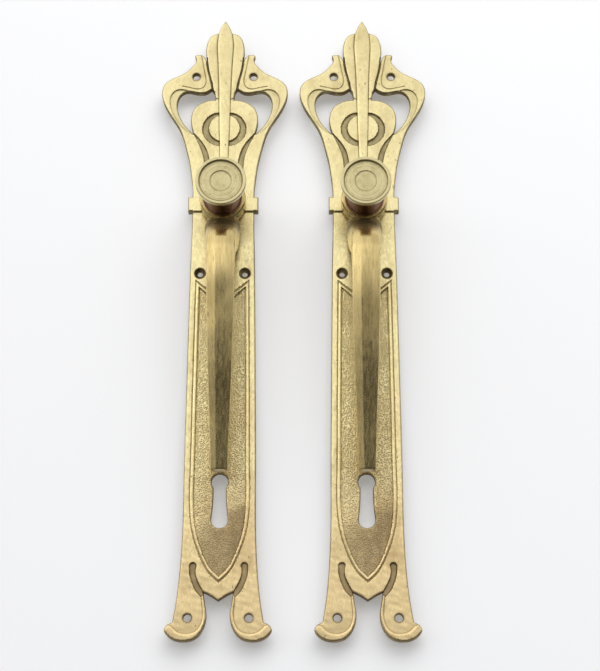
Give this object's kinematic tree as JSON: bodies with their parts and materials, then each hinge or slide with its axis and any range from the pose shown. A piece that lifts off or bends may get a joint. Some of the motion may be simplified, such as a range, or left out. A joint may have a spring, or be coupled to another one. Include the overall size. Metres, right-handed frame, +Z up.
{
  "type": "lever handle lockset",
  "caption": "Pair of Art Nouveau cast-brass long-plate lever handles: pierced crown, keyhole, punched panel, scrolled feet, and a turned knob at each hub.",
  "frame": {"origin": "left half's spindle axis, in the plane of the plates' backs", "axes": "+Z up the plates, +X from the left half to the right half, -Y out of the plates' fronts"},
  "size_m": [0.1521, 0.1015, 0.3609],
  "materials": {
    "cast_brass": "satin, aged",
    "turned_brass": "satin, turned",
    "red_brass": "aged, reddish",
    "bearing_bronze": "machined",
    "steel": "machined"
  },
  "bodies": {
    "root": {"left_backplate": "cast_brass", "left_guide_bush": "bearing_bronze", "left_thrust_washer": "bearing_bronze", "left_wave_washer": "steel"},
    "left_handle": {"left_lever": "cast_brass", "left_collar_ring": "turned_brass", "left_neck_sleeve": "red_brass", "left_end_disc": "turned_brass", "left_retaining_washer": "steel", "left_retaining_ring": "steel", "left_spindle": "steel", "left_cross_pin": "steel"},
    "right_half": {"right_backplate": "cast_brass", "right_guide_bush": "bearing_bronze", "right_thrust_washer": "bearing_bronze", "right_wave_washer": "steel"},
    "right_handle": {"right_lever": "cast_brass", "right_collar_ring": "turned_brass", "right_neck_sleeve": "red_brass", "right_end_disc": "turned_brass", "right_retaining_washer": "steel", "right_retaining_ring": "steel"}
  },
  "joints": [
    {"name": "left_lever_turn", "type": "hinge", "parent": "root", "child": "left_handle", "pos_m": [0, 0, 0], "axis": [0, 1, 0], "range_deg": [-12, 60]},
    {"name": "right_lever_turn", "type": "hinge", "parent": "right_half", "child": "right_handle", "pos_m": [0.0795, 0, 0], "axis": [0, 1, 0], "range_deg": [-60, 12]},
    {"name": "right_half_slide", "type": "slide", "parent": "root", "child": "right_half", "axis": [1, 0, 0], "range_m": [0, 0.15]}
  ]
}
